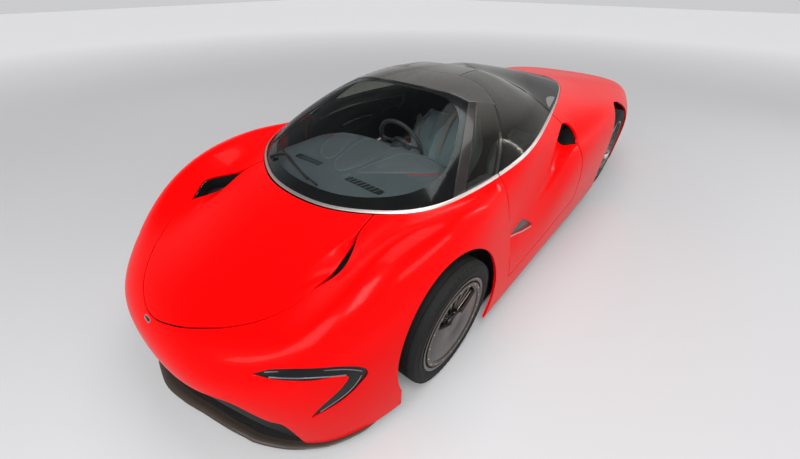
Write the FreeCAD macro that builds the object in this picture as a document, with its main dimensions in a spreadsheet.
"""Supercar: a low three-seat coupe with a teardrop canopy, swing-up doors and covered front wheels.

Millimetres. +Z up, front towards -Y, the car's left towards +X. The origin is on the ground,
under the middle of the whole car.
"""
import FreeCAD, Part
import math
import os
import re
from FreeCAD import Placement, Rotation, Vector

SIZES = [
    # name, value
    ("wheelbase", 2725.0),
    ("frontAxleY", -1533.0),
    ("frontFaceX", 955.0),
    ("rearFaceX", 945.0),
    ("frontTyreDiameter", 672.0),
    ("frontTyreWidth", 235.0),
    ("frontBeadDiameter", 508.0),
    ("rearTyreDiameter", 722.0),
    ("rearTyreWidth", 315.0),
    ("rearBeadDiameter", 534.0),
    ("tyreShoulder", 10.0),
    ("rimWall", 12.0),
    ("rimInset", 2.0),
    ("spokeWidth", 26.0),
    ("spokeDepth", 38.0),
    ("spokeCount", 10.0),
    ("hubDiameter", 140.0),
    ("discDiameter", 380.0),
    ("discThickness", 28.0),
    ("spindleDiameter", 64.0),
    ("coverThickness", 12.0),
    ("runningGap", 6.0),
    ("fitGap", 0.3),
    ("kingpinInset", 155.0),
    ("kingpinReach", 130.0),
    ("armThickness", 20.0),
    ("armWidth", 50.0),
    ("archGap", 58.0),
    ("linerThickness", 6.0),
    ("skinThickness", 14.0),
    ("doorThickness", 62.0),
    ("sillThickness", 55.0),
    ("glassThickness", 6.0),
    ("shutGap", 7.0),
    ("doorRearGap", 11.0),
    ("bandLength", 200.0),
    ("trimWidth", 12.0),
    ("trimInset", 0.6),
    ("trimThickness", 9.0),
    ("canopyInset", 2.0),
    ("upstandWidth", 60.0),
    ("upstandTop", 330.0),
    ("ledgeTop", 190.0),
    ("ledgeReach", 940.0),
    ("doorFrontY", -950.0),
    ("doorRearY", 100.0),
    ("spineHalfWidth", 215.0),
    ("headerY", -500.0),
    ("headerDepth", 245.0),
    ("floorBottom", 86.0),
    ("floorThickness", 23.7),
    ("floorHalfWidth", 910.0),
    ("floorNarrow", 500.0),
    ("jackX", 820.0),
    ("jackFrontY", -850.0),
    ("jackRearY", 550.0),
    ("jackPad", 90.0),
    ("jackDrop", 6.0),
    ("wallThickness", 15.0),
    ("luggageFrontY", -2120.0),
    ("luggageTop", 560.0),
    ("stopRadius", 7.0),
    ("stopDrop", 1.83),
    ("frontBulkheadY", -1420.0),
    ("bulkheadThickness", 25.0),
    ("frontBulkheadTop", 690.0),
    ("rearBulkheadY", 640.0),
    ("rearBulkheadTop", 780.0),
    ("dashDepth", 330.0),
    ("dashBottom", 520.0),
    ("dashTop", 715.0),
    ("dashHalfWidth", 490.0),
    ("wheelRimDiameter", 340.0),
    ("wheelRimSection", 28.0),
    ("columnAngle", 21.0),
    ("columnLength", 250.0),
    ("columnDiameter", 56.0),
    ("seatWidth", 430.0),
    ("seatDepth", 470.0),
    ("seatHeight", 200.0),
    ("seatBackHeight", 620.0),
    ("seatBackThickness", 120.0),
    ("seatBackLean", 24.0),
    ("driverSeatY", -560.0),
    ("passengerSeatY", -250.0),
    ("passengerSeatX", 430.0),
    ("passengerBackHeight", 500.0),
    ("engineHalfWidth", 290.0),
    ("engineRearY", 1560.0),
    ("engineHeight", 470.0),
    ("splitterThickness", 16.0),
    ("splitterFrontY", -2592.0),
    ("splitterRearY", -2060.0),
    ("splitterHalfWidth", 700.0),
    ("diffuserRearY", 2470.0),
    ("diffuserHalfWidth", 620.0),
    ("diffuserRise", 120.0),
    ("exhaustDiameter", 110.0),
    ("exhaustSpacing", 150.0),
    ("exhaustHeight", 430.0),
    ("exhaustEndY", 2570.0),
    ("lampDepth", 30.0),
    ("tailLampDepth", 8.0),
    ("tailLampGap", 0.62),
]

# Sections of the body from the nose's middle round the corner and back to the tail's middle.
# Each runs outwards in plan from the canopy's foot to the lower edge.
# footX, footY, footZ, canopyPower, edgeX, edgeY, edgeZ, then six (run, height) between them
SECTIONS = [
    (0, -1700, 775, 2.0, 0, -2525, 230, (250, 720), (500, 660), (710, 595), (825, 530), (880, 430), (860, 310)),
    (250, -1675, 776, 2.0, 350, -2490, 210, (240, 725), (480, 640), (690, 585), (820, 540), (885, 430), (865, 310)),
    (480, -1560, 790, 2.1, 630, -2400, 150, (200, 742), (420, 660), (620, 620), (770, 570), (865, 450), (875, 280)),
    (600, -1470, 800, 2.2, 815, -2260, 90, (150, 825), (330, 860), (530, 805), (690, 680), (790, 500), (820, 270)),
    (690, -1360, 815, 2.4, 925, -1960, 80, (80, 830), (210, 875), (380, 830), (520, 720), (620, 530), (650, 290)),
    (735, -1230, 830, 2.6, 965, -1600, 100, (50, 825), (140, 865), (250, 835), (355, 730), (425, 550), (445, 320)),
    (770, -1080, 845, 2.8, 975, -1250, 110, (30, 830), (80, 835), (150, 790), (200, 680), (245, 500), (270, 300)),
    (795, -900, 860, 3.0, 975, -950, 110, (20, 838), (45, 790), (75, 700), (105, 580), (150, 420), (182, 270)),
    (810, -650, 880, 3.1, 975, -650, 110, (20, 845), (35, 770), (50, 680), (75, 560), (125, 410), (157, 270)),
    (765, -350, 900, 3.0, 975, -320, 110, (30, 860), (60, 790), (90, 700), (145, 580), (200, 460), (215, 310)),
    (675, 30, 900, 2.8, 980, 50, 110, (60, 865), (110, 810), (170, 765), (240, 725), (300, 600), (312, 380)),
    (585, 400, 893, 2.4, 980, 450, 120, (90, 860), (170, 830), (260, 800), (350, 735), (405, 600), (412, 380)),
    (485, 750, 880, 2.0, 980, 850, 120, (120, 850), (250, 825), (370, 815), (460, 745), (510, 600), (520, 400)),
    (385, 1080, 862, 1.8, 975, 1200, 130, (150, 830), (310, 810), (450, 805), (555, 735), (610, 600), (615, 400)),
    (250, 1370, 845, 1.6, 945, 1600, 150, (200, 815), (410, 795), (570, 775), (680, 715), (740, 590), (750, 400)),
    (130, 1520, 835, 1.6, 850, 2020, 200, (250, 810), (520, 785), (700, 760), (820, 705), (880, 600), (895, 450)),
    (65, 1570, 832, 1.6, 700, 2380, 280, (300, 810), (600, 780), (850, 755), (980, 735), (1060, 660), (1070, 520)),
    (20, 1595, 830, 1.6, 370, 2500, 320, (270, 810), (550, 780), (800, 760), (920, 750), (990, 690), (985, 520)),
    (0, 1600, 830, 1.6, 0, 2520, 340, (250, 810), (520, 780), (760, 760), (880, 750), (945, 690), (940, 520)),
]
LAST_SECTION = len(SECTIONS) - 1
LAST_BAND = 7
APEX = (0.0, -300.0, 1200.0)
SEAM_NOSE = 2.0
SEAM_TAIL = 15.0
DOOR_FOOT = 6.15
FOOT_BAND = 0.04
HAIR = 0.002

doc = FreeCAD.newDocument("supercar")
sheet = doc.addObject("Spreadsheet::Sheet", "sizes")
for row, (name, value) in enumerate(SIZES, start=1):
    sheet.set("A%d" % row, name)
    sheet.set("B%d" % row, str(value))
    sheet.setAlias("B%d" % row, name)
doc.recompute()
NAMES = [name for name, value in SIZES]
nodes = {}


def size(name):
    """A driving dimension, read from the sheet."""
    return float(sheet.get(name))


def bind(thing, prop, text):
    """Binds a property to an expression written with the sheet's names."""
    pattern = r"\b(" + "|".join(NAMES) + r")\b"
    thing.setExpression(prop, re.sub(pattern, r"sizes.\1", str(text)))


def keep(label, thing):
    """Names a finished piece, which is written to a file of that name."""
    thing.Label = label
    nodes[label] = thing
    return thing


# ---------------------------------------------------------------- the body's surface

def sectionPoles():
    """The control points of each section, from the canopy's foot to the lower edge."""
    rows = []
    for footX, footY, footZ, power, edgeX, edgeY, edgeZ, *middle in SECTIONS:
        length = math.hypot(edgeX - footX, edgeY - footY)
        alongX = (edgeX - footX) / length
        alongY = (edgeY - footY) / length
        line = [(footX, footY, footZ)]
        line += [(footX + alongX * run, footY + alongY * run, height) for run, height in middle]
        line.append((edgeX, edgeY, edgeZ))
        rows.append(line)
    return rows


def mirrored(line):
    return [(-x, y, z) for x, y, z in line]


def stretched(line):
    """One more point beyond each end, so that the curve starts and ends on its own points."""
    first = tuple(2 * a - b for a, b in zip(line[0], line[1]))
    last = tuple(2 * a - b for a, b in zip(line[-1], line[-2]))
    return [first] + line + [last]


POLES = sectionPoles()
POLES = [mirrored(POLES[1])] + POLES + [mirrored(POLES[-2])]
POLES = [stretched(line) for line in POLES]


def weights(t):
    """The four weights of a uniform cubic."""
    return ((1 - t) ** 3 / 6, (3 * t ** 3 - 6 * t ** 2 + 4) / 6,
            (-3 * t ** 3 + 3 * t ** 2 + 3 * t + 1) / 6, t ** 3 / 6)


def bodyPoint(section, band):
    """A point of the body. Sections below 0 or past the last are the right-hand side."""
    if section < 0:
        point = bodyPoint(-section, band)
        return Vector(-point.x, point.y, point.z)
    if section > LAST_SECTION:
        point = bodyPoint(2 * LAST_SECTION - section, band)
        return Vector(-point.x, point.y, point.z)
    i = min(int(section), LAST_SECTION - 1)
    j = min(int(max(band, 0)), LAST_BAND - 1)
    across = weights(section - i)
    down = weights(band - j)
    total = [0.0, 0.0, 0.0]
    for a in range(4):
        for b in range(4):
            pole = POLES[i + a][j + b]
            share = across[a] * down[b]
            for axis in range(3):
                total[axis] += share * pole[axis]
    return Vector(*total)


def bodyNormal(section, band):
    """The outward direction of the body there."""
    step = 0.02
    low = max(band - step, 0)
    high = min(band + step, LAST_BAND)
    along = bodyPoint(section + step, band) - bodyPoint(section - step, band)
    down = bodyPoint(section, high) - bodyPoint(section, low)
    out = along.cross(down)
    out.normalize()
    return out * -1


def sectionAt(y, band):
    """The section of the left side that is at y on this band."""
    low = 3.0
    high = 16.0
    for turn in range(36):
        middle = (low + high) / 2
        if bodyPoint(middle, band).y < y:
            low = middle
        else:
            high = middle
    return (low + high) / 2


# ---------------------------------------------------------------- the canopy's surface

FOOT = [bodyPoint(LAST_SECTION * i / 180.0, 0) for i in range(181)]
FOOT_ANGLE = [math.atan2(abs(point.x), APEX[1] - point.y) for point in FOOT]
FOOT_REACH = [math.hypot(point.x, point.y - APEX[1]) for point in FOOT]
FOOT_POWER = []
for i in range(181):
    place = LAST_SECTION * i / 180.0
    before = min(int(place), LAST_SECTION - 1)
    share = place - before
    FOOT_POWER.append(SECTIONS[before][3] * (1 - share) + SECTIONS[before + 1][3] * share)


def footAt(angle):
    """Reach, height and power of the canopy's foot in this direction from the apex, 0 ahead."""
    for i in range(180):
        if FOOT_ANGLE[i + 1] >= angle:
            break
    span = FOOT_ANGLE[i + 1] - FOOT_ANGLE[i]
    share = 0.0 if span == 0 else (angle - FOOT_ANGLE[i]) / span
    share = min(max(share, 0.0), 1.0)
    reach = FOOT_REACH[i] * (1 - share) + FOOT_REACH[i + 1] * share
    height = FOOT[i].z * (1 - share) + FOOT[i + 1].z * share
    power = FOOT_POWER[i] * (1 - share) + FOOT_POWER[i + 1] * share
    return reach, height, power


def canopyHeight(x, y):
    """The canopy over a place in plan: a dome ahead, a long straight tail behind."""
    angle = math.atan2(abs(x), APEX[1] - y)
    reach, foot, power = footAt(angle)
    out = min(math.hypot(x, y - APEX[1]) / reach, 1.0)
    tail = min(max((math.degrees(angle) - 90) / 70, 0.0), 1.0)
    tail = tail * tail * (3 - 2 * tail)
    blunt = 0.15
    cone = (math.sqrt(blunt ** 2 + out ** 2) - blunt) / (math.sqrt(blunt ** 2 + 1) - blunt)
    return APEX[2] - (APEX[2] - foot) * ((1 - tail) * out ** power + tail * cone)


def canopyPoint(x, y):
    return Vector(x, y, canopyHeight(x, y))


def canopyNormal(x, y):
    step = 2.0
    slopeX = (canopyHeight(x + step, y) - canopyHeight(x - step, y)) / (2 * step)
    slopeY = (canopyHeight(x, y + step) - canopyHeight(x, y - step)) / (2 * step)
    out = Vector(-slopeX, -slopeY, 1)
    out.normalize()
    return out


def footPlan(y, inset):
    """The plan place at y on the left, this far inside the canopy's foot."""
    low = 0.0
    high = 1000.0
    for turn in range(30):
        middle = (low + high) / 2
        reach = footAt(math.atan2(middle, APEX[1] - y))[0]
        if math.hypot(middle, y - APEX[1]) < reach - inset:
            low = middle
        else:
            high = middle
    return low


def ringPlan(angle, inset):
    """The plan place in this direction from the apex, this far inside the canopy's foot."""
    reach = footAt(abs(angle))[0] - inset
    return reach * math.sin(angle), APEX[1] - reach * math.cos(angle)


# ---------------------------------------------------------------- panels

def smoothFace(grid):
    surface = Part.BSplineSurface()
    surface.interpolate(grid)
    return surface


def boundary(surface):
    """The four edges of a surface, always in the same order."""
    u0, u1, v0, v1 = surface.bounds()
    curves = [surface.uIso(u0), surface.uIso(u1), surface.vIso(v0), surface.vIso(v1)]
    return [curve.toShape() for curve in curves]


def panel(outer, inner):
    """A solid between two grids of points."""
    outerFace = smoothFace(outer)
    innerFace = smoothFace(inner)
    faces = [outerFace.toShape(), innerFace.toShape()]
    for a, b in zip(boundary(outerFace), boundary(innerFace)):
        faces.append(Part.makeRuledSurface(a, b))
    shell = Part.makeCompound(faces)
    shell.sewShape()
    solid = Part.makeSolid(shell.Shells[0])
    if solid.Volume < 0:
        solid.reverse()
    return solid


def spread(first, last, count):
    return [first + (last - first) * i / (count - 1.0) for i in range(count)]


def bodyPanel(places, thickness, proud=0.0):
    """A panel of the body over a grid of (section, band), this thick inwards."""
    outer = []
    inner = []
    for line in places:
        normals = [bodyNormal(section, band) for section, band in line]
        points = [bodyPoint(section, band) for section, band in line]
        outer.append([point + out * proud for point, out in zip(points, normals)])
        inner.append([point - out * (thickness - proud) for point, out in zip(points, normals)])
    return panel(outer, inner)


def canopyPanel(places, thickness, drop=0.0):
    """A panel of the canopy over a grid of plan places, this thick downwards."""
    outer = []
    inner = []
    for line in places:
        normals = [canopyNormal(x, y) for x, y in line]
        points = [canopyPoint(x, y) for x, y in line]
        outer.append([point - out * drop for point, out in zip(points, normals)])
        inner.append([point - out * (drop + thickness) for point, out in zip(points, normals)])
    return panel(outer, inner)


def between(first, last, countAcross, countAlong):
    """Plan places between two plan lines, each given as a function of 0 to 1."""
    lines = []
    for along in spread(0.0, 1.0, countAlong):
        x0, y0 = first(along)
        x1, y1 = last(along)
        lines.append([(x0 + (x1 - x0) * t, y0 + (y1 - y0) * t) for t in spread(0.0, 1.0, countAcross)])
    return lines


def solidPiece(label, shape):
    piece = doc.addObject("Part::Feature", label)
    piece.Shape = shape
    return keep(label, piece)


def mirrorPiece(label, source):
    """The right-hand twin of a left-hand piece."""
    twin = doc.addObject("Part::Mirroring", label)
    twin.Source = source
    twin.Base = Vector(0, 0, 0)
    twin.Normal = Vector(1, 0, 0)
    return keep(label, twin)


def axleHeight(end):
    return size(end + "TyreDiameter") / 2


def axleY(end):
    return size("frontAxleY") + (size("wheelbase") if end == "rear" else 0.0)


def archCutter(end):
    radius = axleHeight(end) + size("archGap")
    centre = Vector(500, axleY(end), axleHeight(end))
    return Part.makeCylinder(radius, 700, centre, Vector(1, 0, 0))


def lidEdge(section):
    """The band of the bonnet's front edge."""
    return 3.95 - 0.52 * math.hypot(section, 0.2) - 0.02 * section ** 4


def lampPrism(grow):
    """A prism through the left front corner, the outline of its lamp: a slit with a hook."""
    alongX = Vector(0.87, 0.49, 0)
    ahead = Vector(0.49, -0.87, 0)
    start = Vector(560, -2400, 0) - ahead * 250
    outline = [(-90 - grow, 448), (120, 480 + grow), (420 + grow, 560 + grow), (395 + grow, 500),
               (250 + grow, 290 - grow), (215 - grow, 300), (330 - grow, 490 - grow), (120, 440 - grow)]
    points = [start + alongX * a + Vector(0, 0, b) for a, b in outline]
    wire = Part.makePolygon(points + points[:1])
    return Part.Face(wire).extrude(ahead * 620)


def makeFrontBody():
    """Nose, wings and the lamps set in them."""
    skin = size("skinThickness")
    gap = size("shutGap") / size("bandLength")
    bands = 20
    places = []
    for section in spread(-SEAM_NOSE + HAIR, SEAM_NOSE - HAIR, 13):
        places.append([(section, band) for band in spread(lidEdge(section) + gap, LAST_BAND, 16)])
    nose = bodyPanel(places, skin)
    places = []
    for share in spread(0.0, 1.0, 14):
        line = []
        for band in spread(FOOT_BAND, LAST_BAND, bands):
            last = sectionAt(size("doorFrontY") - size("shutGap"), band)
            first = SEAM_NOSE + HAIR + (gap if band < lidEdge(SEAM_NOSE) else 0.0)
            line.append((first + (last - first) * share, band))
        places.append(line)
    wing = bodyPanel(places, skin)
    wing = wing.cut(archCutter("front"))
    cutter = lampPrism(0.0)
    mirrorCutter = cutter.mirror(Vector(0, 0, 0), Vector(1, 0, 0))
    nose = nose.cut(cutter).cut(mirrorCutter)
    solidPiece("nose", nose)
    wingPiece = solidPiece("wing_left", wing.cut(cutter))
    mirrorPiece("wing_right", wingPiece)
    places = []
    for section in spread(1.2, 4.0, 9):
        places.append([(section, band) for band in spread(3.2, LAST_BAND, 8)])
    lamp = bodyPanel(places, size("lampDepth"), -4.0).common(lampPrism(-0.4))
    lampPiece = solidPiece("headlamp_left", lamp)
    mirrorPiece("headlamp_right", lampPiece)


def makeBonnet():
    """The luggage lid between the wings."""
    places = []
    edge = size("shutGap") / size("bandLength")
    for section in spread(-SEAM_NOSE + edge, SEAM_NOSE - edge, 13):
        places.append([(section, band) for band in spread(0.04, lidEdge(section) - edge, 8)])
    solidPiece("bonnet", bodyPanel(places, size("skinThickness")))


def makeDoors():
    """The lower panel of each door, thick as the whole door, and the sill under it."""
    gap = size("shutGap")
    slant = 0.1
    outer = []
    inner = []
    thickness = size("doorThickness")
    for share in spread(0.0, 1.0, 9):
        outerLine = []
        innerLine = []
        for band in spread(0.012, DOOR_FOOT, 9):
            y = size("doorFrontY") + (size("doorRearY") - size("doorFrontY")) * share
            section = sectionAt(y, band)
            outerLine.append(bodyPoint(section, band))
            band = band * (1 - 0.05 * (band / DOOR_FOOT) ** 4)
            front = size("doorFrontY") + slant * thickness
            rear = size("doorRearY") - 2 * slant * thickness
            section = sectionAt(front + (rear - front) * share, band)
            innerLine.append(bodyPoint(section, band) - bodyNormal(section, band) * thickness)
        outer.append(outerLine)
        inner.append(innerLine)
    door = solidPiece("door_left", panel(outer, inner))
    mirrorPiece("door_right", door)
    places = []
    for y in spread(size("doorFrontY") - gap + 0.5, size("doorRearY") + size("doorRearGap") - 0.5, 7):
        places.append([(sectionAt(y, band), band) for band in spread(DOOR_FOOT + gap / 150, LAST_BAND, 4)])
    sill = bodyPanel(places, size("sillThickness"))
    low = size("floorBottom") + size("floorThickness") + size("fitGap")
    front = size("doorFrontY") + 10
    level = door.Shape.slice(Vector(0, 0, 1), size("upstandTop"))
    reach = min(wire.optimalBoundingBox(False, False).XMin for wire in level) - size("fitGap")
    upstand = Part.makeBox(size("upstandWidth"), size("doorRearY") - front - 10, size("upstandTop") - low,
                           Vector(reach - size("upstandWidth"), front, low))
    ledge = Part.makeBox(size("ledgeReach") - reach + size("upstandWidth"), upstand.BoundBox.YLength,
                         size("ledgeTop") - low, Vector(reach - size("upstandWidth"), front, low))
    sill = solidPiece("sill_left", sill.fuse([upstand, ledge]).removeSplitter())
    mirrorPiece("sill_right", sill)


def makeRearBody():
    """Haunches with the side intakes, and the long tail."""
    skin = size("skinThickness")
    places = []
    for share in spread(0.0, 1.0, 13):
        line = []
        for band in spread(FOOT_BAND, LAST_BAND, 20):
            first = sectionAt(size("doorRearY") + size("doorRearGap"), band)
            last = SEAM_TAIL - HAIR
            line.append((first + (last - first) * share, band))
        places.append(line)
    haunch = bodyPanel(places, skin).cut(archCutter("rear"))
    oval = Part.Ellipse(Vector(0, 0, 0), 190, 42).toShape()
    mouth = Part.Face(Part.Wire([oval])).extrude(Vector(0, 0, 500))
    mouth.rotate(Vector(0, 0, 0), Vector(0, 0, 1), 107)
    mouth.translate(Vector(770, 350, 500))
    haunchPiece = solidPiece("haunch_left", haunch.cut(mouth))
    mirrorPiece("haunch_right", haunchPiece)
    places = []
    for section in spread(SEAM_TAIL + HAIR, 2 * LAST_SECTION - SEAM_TAIL - HAIR, 25):
        places.append([(section, band) for band in spread(FOOT_BAND, LAST_BAND, 20)])
    tail = bodyPanel(places, skin)
    for side in (-1, 1):
        start = Vector(side * size("exhaustSpacing"), 2300, size("exhaustHeight"))
        radius = size("exhaustDiameter") / 2 + size("runningGap")
        tail = tail.cut(Part.makeCylinder(radius, 400, start, Vector(0, 1, 0)))
    solidPiece("tail", tail)
    lamps = []
    for first, last in ((15.6, 17.7), (18.3, 20.4)):
        places = [[(section, band) for band in spread(4.75, 5.0, 4)] for section in spread(first, last, 10)]
        lamps.append(bodyPanel(places, size("tailLampDepth"), size("tailLampDepth") + size("tailLampGap")))
    solidPiece("tail_lamps", Part.makeCompound(lamps))


def makeCanopy():
    """Windscreen, pillars, spine, door glass, rear canopy and the bright strip round its foot."""
    glass = size("glassThickness")
    gap = size("shutGap")
    inset = size("trimWidth") + size("fitGap")
    spine = size("spineHalfWidth")
    header = size("headerY")
    hair = 0.5
    screenTopY = header - size("headerDepth")
    screenCornerX = 440.0
    bendX = 580.0

    def footAngleAt(y, extra):
        return math.atan2(footPlan(y, extra), APEX[1] - y)

    def doorEdge(t, grow):
        """The front edge of the door glass in plan, from its foot round to the spine."""
        footX, footY = ringPlan(footAngleAt(size("doorFrontY") - grow, 1.0), 1.0)
        shares = ((1 - t) ** 2, 2 * t * (1 - t), t ** 2)
        x = shares[0] * footX + shares[1] * bendX + shares[2] * (spine + gap)
        y = shares[0] * footY + shares[1] * (header - grow) + shares[2] * (header - grow)
        return x, y

    # the windscreen, from its foot to the header
    screenAngle = footAngleAt(-1270.0, inset)

    def screenFoot(t):
        return ringPlan(-screenAngle + 2 * screenAngle * t, inset)

    def screenTop(t):
        return (2 * t - 1) * screenCornerX, screenTopY

    solidPiece("windscreen", canopyPanel(between(screenFoot, screenTop, 9, 15), glass))

    # the pillar between windscreen and door glass, up to the header
    doorAngle = footAngleAt(size("doorFrontY") - gap, inset)
    corner = 0.5

    def pillarFront(t):
        footX, footY = ringPlan(screenAngle + 0.0008, inset)
        return footX + (screenCornerX + hair - footX) * t, footY + (screenTopY - footY) * t

    def pillarRear(t):
        x, y = doorEdge(corner * t, gap)
        footX, footY = ringPlan(doorAngle, inset)
        share = (1 - t) ** 6
        return x + (footX - doorEdge(0.0, gap)[0]) * share, y + (footY - doorEdge(0.0, gap)[1]) * share

    pillar = solidPiece("pillar_left", canopyPanel(between(pillarFront, pillarRear, 5, 9), 24.0))
    mirrorPiece("pillar_right", pillar)

    # the header across the top of the windscreen, shaped behind to the doors and the spine
    endX, endY = doorEdge(corner, gap)

    def headerFront(t):
        return (2 * t - 1) * screenCornerX, screenTopY + hair

    def headerRear(t):
        side = 2 * t - 1
        x = (endX - hair) * abs(side)
        if x <= spine:
            return math.copysign(x, side), header - gap
        low = corner
        high = 1.0
        for turn in range(30):
            middle = (low + high) / 2
            if doorEdge(middle, gap)[0] > x:
                low = middle
            else:
                high = middle
        return math.copysign(x, side), doorEdge(low, gap)[1]

    solidPiece("roof_header", canopyPanel(between(headerFront, headerRear, 5, 17), 24.0))

    # the spine over the driver, from the header to the rear canopy
    rearTopY = -130.0

    def spineSide(side):
        return lambda t: (side * spine, header - gap + hair + (rearTopY - header + gap - 2 * hair) * t)

    solidPiece("roof_spine", canopyPanel(between(spineSide(-1), spineSide(1), 5, 5), 24.0))

    # the door glass, which wraps into the roof
    doorRear = size("doorRearY")
    glassFront = footAngleAt(size("doorFrontY"), 1.0)
    glassRear = footAngleAt(doorRear, 1.0)
    lines = []
    for t in spread(0.0, 1.0, 9):
        footX, footY = ringPlan(glassFront + (glassRear - glassFront) * t, 1.0)
        topX = spine + gap
        topY = header + (rearTopY - 2 * gap - header) * t
        line = []
        for up in spread(0.0, 1.0, 10):
            edgeX, edgeY = doorEdge(up, 0.0)
            startX, startY = ringPlan(glassFront, 1.0)
            share = (1 - t) ** 2
            x = footX + (topX - footX) * up + (edgeX - startX - (topX - startX) * up) * share
            y = footY + (topY - footY) * up + (edgeY - startY - (header - startY) * up) * share
            line.append((x, y))
        lines.append(line)
    pane = solidPiece("door_glass_left", canopyPanel(lines, glass))
    mirrorPiece("door_glass_right", pane)

    # the rear canopy, from behind the doors to the tail
    lines = []
    for t in spread(0.0, 1.0, 9):
        line = []
        for across in spread(-1.0, 1.0, 11):
            frontY = rearTopY + hair + (doorRear + gap - rearTopY) * abs(across) ** 1.5
            y = frontY + (1572.0 - frontY) * t
            widest = footPlan(y, inset + size("canopyInset"))
            line.append((widest * across, y))
        lines.append(line)
    solidPiece("rear_canopy", canopyPanel(lines, glass))

    # the strip round the foot, in three lengths: the doors carry their own
    strips = []
    frontEnd = footAngleAt(size("doorFrontY") - gap, 1.0)
    rearEnd = footAngleAt(doorRear + gap, 1.0)
    for first, last, count in ((-frontEnd, frontEnd, 31), (rearEnd, 2 * math.pi - rearEnd, 61)):
        outer = []
        for angle in spread(first, last, count):
            turned = angle if angle <= math.pi else angle - 2 * math.pi
            outer.append((ringPlan(turned, size("trimInset")), ringPlan(turned, size("trimWidth"))))
        strips.append(canopyPanel(outer, size("trimThickness"), -1.0))
    solidPiece("canopy_trim", Part.makeCompound(strips))


# ---------------------------------------------------------------- plain pieces bound to the sheet

def place(thing, x, y, z):
    for axis, text in zip("xyz", (x, y, z)):
        bind(thing, "Placement.Base." + axis, text)


def block(name, x, y, z, length, width, height):
    """A box from its low corner and its sides, each an expression."""
    thing = doc.addObject("Part::Box", name)
    bind(thing, "Length", length)
    bind(thing, "Width", width)
    bind(thing, "Height", height)
    place(thing, x, y, z)
    return thing


def rod(name, x, y, z, radius, height, along="X"):
    """A cylinder from the middle of its first end, along X, Y or Z."""
    thing = doc.addObject("Part::Cylinder", name)
    bind(thing, "Radius", radius)
    bind(thing, "Height", height)
    turns = {"X": Rotation(Vector(0, 1, 0), 90), "Y": Rotation(Vector(1, 0, 0), -90), "Z": Rotation()}
    thing.Placement = Placement(Vector(0, 0, 0), turns[along])
    place(thing, x, y, z)
    return thing


def joined(name, *parts):
    thing = doc.addObject("Part::MultiFuse", name)
    thing.Shapes = list(parts)
    return thing


def cut(name, base, tool):
    thing = doc.addObject("Part::Cut", name)
    thing.Base = base
    thing.Tool = tool
    return thing


FLOOR_TOP = "(floorBottom + floorThickness)"
SEAT = FLOOR_TOP + " + fitGap"


def stopTop(x, y):
    """The height just under the bonnet's skin over a place in plan."""
    best = None
    for section in spread(0.5, 1.98, 60):
        for band in spread(0.3, 2.6, 60):
            point = bodyPoint(section, band) - bodyNormal(section, band) * size("skinThickness")
            miss = math.hypot(point.x - abs(x), point.y - y)
            if best is None or miss < best[0]:
                best = (miss, point.z)
    return best[1] - size("fitGap") - size("stopDrop")


def makeFloor():
    """The flat floor with narrow ends between the wheels, and the walls that stand on it."""
    middle = block("floorMiddle", "-floorHalfWidth", "-1120", "floorBottom",
                   "2 * floorHalfWidth", "1850", "floorThickness")
    front = block("floorFront", "-floorNarrow", "luggageFrontY", "floorBottom",
                  "2 * floorNarrow", "-1100 - luggageFrontY", "floorThickness")
    rear = block("floorRear", "-floorNarrow", "700", "floorBottom",
                 "2 * floorNarrow", "engineRearY - 600", "floorThickness")
    pads = []
    for side in (-1, 1):
        for y in ("jackFrontY", "jackRearY"):
            corner = "%d * jackX - jackPad / 2" % side
            pads.append(block("jackPad", corner, y + " - jackPad / 2", "floorBottom - jackDrop",
                              "jackPad", "jackPad", "jackDrop + 5"))
    keep("floor_pan", joined("floor_pan", middle, front, rear, *pads))
    outside = block("tubOutside", "-floorNarrow", "luggageFrontY", SEAT, "2 * floorNarrow",
                    "frontBulkheadY - luggageFrontY", "luggageTop - " + SEAT)
    inside = block("tubInside", "-floorNarrow + wallThickness", "luggageFrontY + wallThickness",
                   SEAT + " + wallThickness", "2 * (floorNarrow - wallThickness)",
                   "frontBulkheadY - luggageFrontY - 2 * wallThickness", "luggageTop")
    tub = cut("tubShell", outside, inside)
    stops = [tub]
    for section in (-1.85, 1.85):
        under = bodyPoint(section, 1.35) - bodyNormal(section, 1.35) * size("skinThickness")
        stop = doc.addObject("Part::Cylinder", "bonnetStop")
        bind(stop, "Radius", "stopRadius")
        reach = math.copysign(size("floorNarrow") - size("wallThickness") / 2, section)
        stop.Placement = Placement(Vector(reach, under.y, 0), Rotation())
        bind(stop, "Placement.Base.z", "luggageTop - 20")
        stop.Height = stopTop(reach, under.y) - size("luggageTop") + 20
        stops.append(stop)
    keep("luggage_tub", joined("luggage_tub", *stops))
    keep("front_bulkhead", block("front_bulkhead", "-floorNarrow", "frontBulkheadY + fitGap", SEAT,
                                 "2 * floorNarrow", "bulkheadThickness", "frontBulkheadTop - " + SEAT))
    keep("rear_bulkhead", block("rear_bulkhead", "-560", "rearBulkheadY", SEAT,
                                "1120", "bulkheadThickness", "rearBulkheadTop - " + SEAT))
    keep("engine", block("engine", "-engineHalfWidth", "rearBulkheadY + bulkheadThickness + fitGap", SEAT,
                         "2 * engineHalfWidth", "engineRearY - rearBulkheadY - bulkheadThickness",
                         "engineHeight"))


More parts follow.
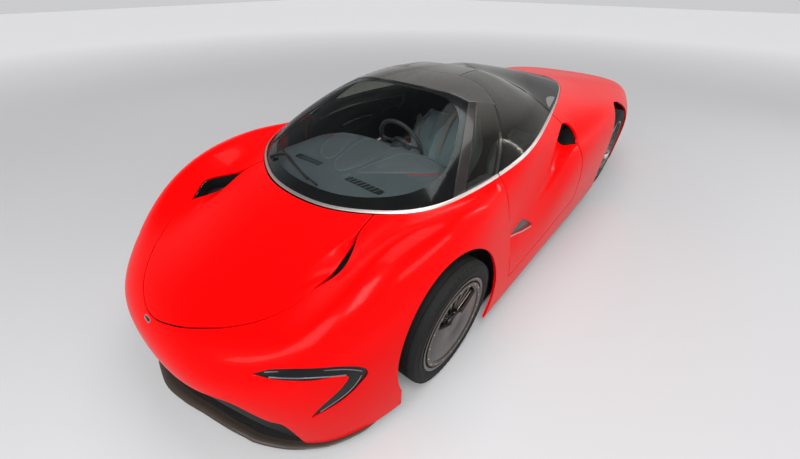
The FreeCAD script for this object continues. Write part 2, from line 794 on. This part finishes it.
def makeCabin():
    """Dashboard with its column, the steering wheel and three seats, the driver's in the middle."""
    board = block("board", "-dashHalfWidth", "frontBulkheadY + bulkheadThickness + 2 * fitGap",
                  "dashBottom", "2 * dashHalfWidth", "dashDepth", "dashTop - dashBottom")
    column = doc.addObject("Part::Cylinder", "column")
    bind(column, "Radius", "columnDiameter / 2")
    bind(column, "Height", "columnLength + 60")
    angle = size("columnAngle")
    start = Vector(0, size("frontBulkheadY") + size("dashDepth") - 20, 672)
    tilt = Rotation(Vector(1, 0, 0), -(90 - angle))
    column.Placement = Placement(start, tilt)
    keep("dashboard", joined("dashboard", board, column))
    hub = start + tilt.multVec(Vector(0, 0, size("columnLength") + 60 + size("fitGap")))
    print("steering wheel hub", [round(value, 2) for value in hub], "axis", tilt.multVec(Vector(0, 0, 1)))
    ring = doc.addObject("Part::Torus", "wheelRing")
    bind(ring, "Radius1", "wheelRimDiameter / 2")
    bind(ring, "Radius2", "wheelRimSection / 2")
    ring.Placement = Placement(hub + tilt.multVec(Vector(0, 0, 16)), tilt)
    boss = doc.addObject("Part::Cylinder", "wheelBoss")
    bind(boss, "Radius", "columnDiameter / 2 + 30")
    boss.Height = 30
    boss.Placement = Placement(hub, tilt)
    parts = [ring, boss]
    for turn in (0, 180, 270):
        spoke = doc.addObject("Part::Box", "wheelSpoke")
        bind(spoke, "Length", "wheelRimDiameter / 2")
        spoke.Width = 36
        spoke.Height = 12
        turned = tilt.multiply(Rotation(Vector(0, 0, 1), turn))
        spoke.Placement = Placement(hub + turned.multVec(Vector(0, -18, 10)), turned)
        parts.append(spoke)
    keep("steering_wheel", joined("steering_wheel", *parts))
    makeSeat("driver_seat", 0.0, size("driverSeatY"), size("seatBackHeight"))
    left = makeSeat("passenger_seat_left", size("passengerSeatX"), size("passengerSeatY"),
                    size("passengerBackHeight"))
    mirrorPiece("passenger_seat_right", left)


def makeSeat(label, x, y, tall):
    """A seat: its cushion and its leaning back, from its front edge."""
    cushion = block(label + "_cushion", "%g - seatWidth / 2" % x, y, SEAT, "seatWidth", "seatDepth", "seatHeight")
    back = doc.addObject("Part::Box", label + "_back")
    bind(back, "Length", "seatWidth")
    bind(back, "Width", "seatBackThickness")
    back.Height = tall
    corner = Vector(x - size("seatWidth") / 2, y + size("seatDepth") - size("seatBackThickness"),
                    size("floorBottom") + size("floorThickness") + size("seatHeight") * 0.55)
    back.Placement = Placement(corner, Rotation(Vector(1, 0, 0), -size("seatBackLean")))
    return keep(label, joined(label, cushion, back))


def revolved(label, profile, end, side):
    """A closed profile of (x across the wheel, radius), turned round the axle."""
    x0 = size(end + "FaceX") - size(end + "TyreWidth")
    centre = Vector(x0, axleY(end), axleHeight(end))
    points = [centre + Vector(across, 0, radius) for across, radius in profile]
    face = Part.Face(Part.makePolygon(points + points[:1]))
    shape = face.revolve(centre, Vector(1, 0, 0), 360)
    if side == "right":
        shape = shape.mirror(Vector(0, 0, 0), Vector(1, 0, 0))
    return shape


def makeWheels():
    """Tyre and rim at each corner. The rim has a barrel, flanges, spokes, a hub and its brake disc."""
    for end in ("front", "rear"):
        width = size(end + "TyreWidth")
        bead = size(end + "BeadDiameter") / 2
        outside = axleHeight(end)
        shoulder = size("tyreShoulder")
        tyre = [(0, bead), (0, outside - shoulder), (shoulder, outside), (width - shoulder, outside),
                (width, outside - shoulder), (width, bead)]
        wall = size("rimWall")
        seat = bead - size("fitGap")
        edge = size("rimInset")
        barrel = [(edge, seat), (width - edge, seat), (width - edge, seat - wall), (edge, seat - wall)]
        hubRadius = size("hubDiameter") / 2
        spokeBack = width - 58
        for side in ("left", "right"):
            name = end + "_" + side
            solidPiece("tyre_" + name, revolved(name, tyre, end, side))
            face = size(end + "FaceX")
            x0 = face - width
            parts = []
            inner = width - 58 - 46 - size("discThickness")
            hub = [(inner, size("spindleDiameter") / 2 + size("fitGap")), (inner, hubRadius),
                   (width - 20, hubRadius), (width - 20, size("spindleDiameter") / 2 + size("fitGap"))]
            disc = [(inner + 16, hubRadius - 5), (inner + 16, size("discDiameter") / 2),
                    (inner + 16 + size("discThickness"), size("discDiameter") / 2),
                    (inner + 16 + size("discThickness"), hubRadius - 5)]
            shape = revolved(name, barrel, end, "left")
            centre = Vector(x0, axleY(end), axleHeight(end))
            spokes = []
            count = int(size("spokeCount"))
            for turn in range(count):
                spoke = Part.makeBox(size("spokeDepth"), size("spokeWidth"), seat - wall / 2 - hubRadius + 8,
                                     centre + Vector(spokeBack, -size("spokeWidth") / 2, hubRadius - 8))
                spoke.rotate(centre, Vector(1, 0, 0), 360.0 * turn / count)
                spokes.append(spoke)
            shape = shape.fuse([revolved(name, hub, end, "left"), revolved(name, disc, end, "left")] + spokes)
            if side == "right":
                shape = shape.mirror(Vector(0, 0, 0), Vector(1, 0, 0))
            solidPiece("rim_" + name, shape)


def makeKnuckles():
    """What carries each front wheel and turns with the steering, and the fixed cover over the wheel."""
    for end, label in (("front", "knuckle"), ("rear", "rear_upright")):
        face = size(end + "FaceX")
        y = axleY(end)
        z = axleHeight(end)
        inner = face - 58 - 46 - size("discThickness")
        gap = size("runningGap")
        upright = Part.makeBox(38, 200, 2 * size("kingpinReach") - 2 * size("fitGap"),
                               Vector(inner - gap - 38, y - 60, z - size("kingpinReach") + size("fitGap")))
        spindle = Part.makeCylinder(size("spindleDiameter") / 2, face - 13 - inner + gap + 10,
                                    Vector(inner - gap - 10, y, z), Vector(1, 0, 0))
        discX = inner + 16
        caliper = Part.makeBox(size("discThickness") + 2 * gap + 20 + (discX - inner), 90, 130,
                               Vector(inner - gap - 5, y + 118, z - 65))
        room = Part.makeCylinder(size("discDiameter") / 2 + gap, size("discThickness") + 2 * gap,
                                 Vector(discX - gap, y, z), Vector(1, 0, 0))
        hubRoom = Part.makeCylinder(size("hubDiameter") / 2 + gap, 200, Vector(inner - gap, y, z), Vector(1, 0, 0))
        caliper = caliper.cut(room.fuse(hubRoom))
        shape = upright.fuse([spindle, caliper])
        piece = solidPiece(label + "_left", shape)
        mirrorPiece(label + "_right", piece)
    face = size("frontFaceX")
    z = axleHeight("front")
    y = axleY("front")
    radius = size("frontBeadDiameter") / 2 - size("rimWall") - size("runningGap") - 2
    cover = Part.makeCylinder(radius, size("coverThickness"), Vector(face - 12.7, y, z), Vector(1, 0, 0))
    window = [(-70, 60), (-180, 90), (-190, 160), (-100, 215), (30, 225), (20, 80)]
    points = [Vector(face - 40, y + a, z + b) for a, b in window]
    opening = Part.Face(Part.makePolygon(points + points[:1])).extrude(Vector(100, 0, 0))
    piece = solidPiece("wheel_cover_left", cover.cut(opening))
    mirrorPiece("wheel_cover_right", piece)


def makeSuspension():
    """The arms between the car and each upright."""
    for end, label, root in (("front", "front_arms", "floorNarrow"), ("rear", "rear_arms", "engineHalfWidth")):
        arms = []
        start = size(root) + size("fitGap")
        inner = size(end + "FaceX") - 58 - 46 - size("discThickness")
        reach = inner - size("runningGap") - 2 - start
        z = axleHeight(end)
        for low in (z + size("kingpinReach"), z - size("kingpinReach") - size("armThickness")):
            for side in (1, -1):
                x = start if side > 0 else -start - reach
                corner = Vector(x, axleY(end) - size("armWidth") / 2, low)
                arms.append(Part.makeBox(reach, size("armWidth"), size("armThickness"), corner))
        solidPiece(label, Part.makeCompound(arms))


def makeLiners():
    """The dark half-rounds over the wheels, closed on their inner side."""
    thick = size("linerThickness")
    for end, reach in (("front", 330.0), ("rear", 330.0)):
        radius = axleHeight(end) + size("archGap") - size("fitGap")
        x = size("floorNarrow") + size("fitGap")
        centre = Vector(x, axleY(end), axleHeight(end))
        liner = Part.makeCylinder(radius, reach, centre, Vector(1, 0, 0))
        hollow = Part.makeCylinder(radius - thick, reach, centre + Vector(thick, 0, 0), Vector(1, 0, 0))
        liner = liner.cut(hollow)
        y = axleY(end)
        below = Part.makeBox(900, 1200, 600, Vector(x - 10, y - 600, size("floorBottom") - 600))
        open = Part.makeBox(900, 1200, 600, Vector(x + thick, y - 600, axleHeight(end) - 620))
        openTop = Part.makeBox(900, 4 * size("armWidth"), 2 * size("kingpinReach") + 100,
                               Vector(x - 10, y - 2 * size("armWidth"),
                                      axleHeight(end) - size("kingpinReach") - 50))
        window = openTop.common(Part.makeCylinder(radius - 40, 30, centre - Vector(5, 0, 0), Vector(1, 0, 0)))
        piece = solidPiece(end + "_liner_left", liner.cut([below, open, window]))
        mirrorPiece(end + "_liner_right", piece)


def makeEnds():
    """Splitter under the nose, diffuser and exhaust under the tail."""
    halfWidth = size("splitterHalfWidth")
    front = size("splitterFrontY")
    rear = size("splitterRearY")
    low = size("floorBottom") - size("splitterThickness") - size("fitGap")
    corner = Vector(halfWidth, rear - 260, low)
    arc = Part.Arc(Vector(-halfWidth, rear - 260, low), Vector(0, front, low), corner).toShape()
    sides = [Part.makeLine(corner, Vector(halfWidth, rear, low)),
             Part.makeLine(Vector(halfWidth, rear, low), Vector(-halfWidth, rear, low)),
             Part.makeLine(Vector(-halfWidth, rear, low), Vector(-halfWidth, rear - 260, low))]
    outline = Part.Face(Part.Wire([arc] + sides))
    solidPiece("front_splitter", outline.extrude(Vector(0, 0, size("splitterThickness"))))
    start = size("engineRearY") + 100 + size("fitGap")
    end = size("diffuserRearY")
    low = size("floorBottom")
    rise = size("diffuserRise")
    side = size("diffuserHalfWidth")
    thick = size("floorThickness")
    outline = [(start, low), (start + 200, low + rise * 0.12), (end, low + rise), (end, low + rise + thick),
               (start + 200, low + rise * 0.12 + thick), (start, low + thick)]
    points = [Vector(-side, y, z) for y, z in outline]
    diffuser = Part.Face(Part.makePolygon(points + points[:1])).extrude(Vector(2 * side, 0, 0))
    fins = []
    for x in (-0.9, -0.45, 0.45, 0.9):
        outline = [(start + 260, low + rise * 0.3), (end - 20, low + 20), (end - 20, low + rise + 5)]
        points = [Vector(x * side - 6, y, z) for y, z in outline]
        fins.append(Part.Face(Part.makePolygon(points + points[:1])).extrude(Vector(12, 0, 0)))
    solidPiece("diffuser", diffuser.fuse(fins))
    pipes = []
    box = Part.makeBox(700, 260, 2 * size("exhaustDiameter"),
                       Vector(-350, size("engineRearY") + 40, size("exhaustHeight") - size("exhaustDiameter")))
    strut = Part.makeBox(60, 60, size("exhaustHeight") - size("exhaustDiameter") - low - thick - size("fitGap"),
                         Vector(-30, size("engineRearY") + 42, low + thick + size("fitGap")))
    radius = size("exhaustDiameter") / 2
    for x in (-1, 1):
        start = Vector(x * size("exhaustSpacing"), size("engineRearY") + 250, size("exhaustHeight"))
        length = size("exhaustEndY") - start.y
        pipe = Part.makeCylinder(radius, length, start, Vector(0, 1, 0))
        bore = Part.makeCylinder(radius - 5, length, start + Vector(0, 60, 0), Vector(0, 1, 0))
        pipes.append(pipe.cut(bore))
    solidPiece("exhaust", box.fuse([strut] + pipes))


def checkAll():
    doc.recompute()
    for thing in doc.Objects:
        if "Invalid" in thing.State or "Error" in thing.State:
            raise RuntimeError("failed: " + thing.Label)
    for label, thing in nodes.items():
        if thing.Shape.isNull() or not thing.Shape.isValid():
            raise RuntimeError("bad shape: " + label)


makeFrontBody()
makeBonnet()
makeDoors()
makeRearBody()
makeCanopy()
makeFloor()
makeCabin()
makeWheels()
makeKnuckles()
makeSuspension()
makeLiners()
makeEnds()
checkAll()
os.makedirs("parts", exist_ok=True)
for label, thing in nodes.items():
    thing.Shape.exportStep("parts/%s.step" % label)
print(len(nodes), "pieces")
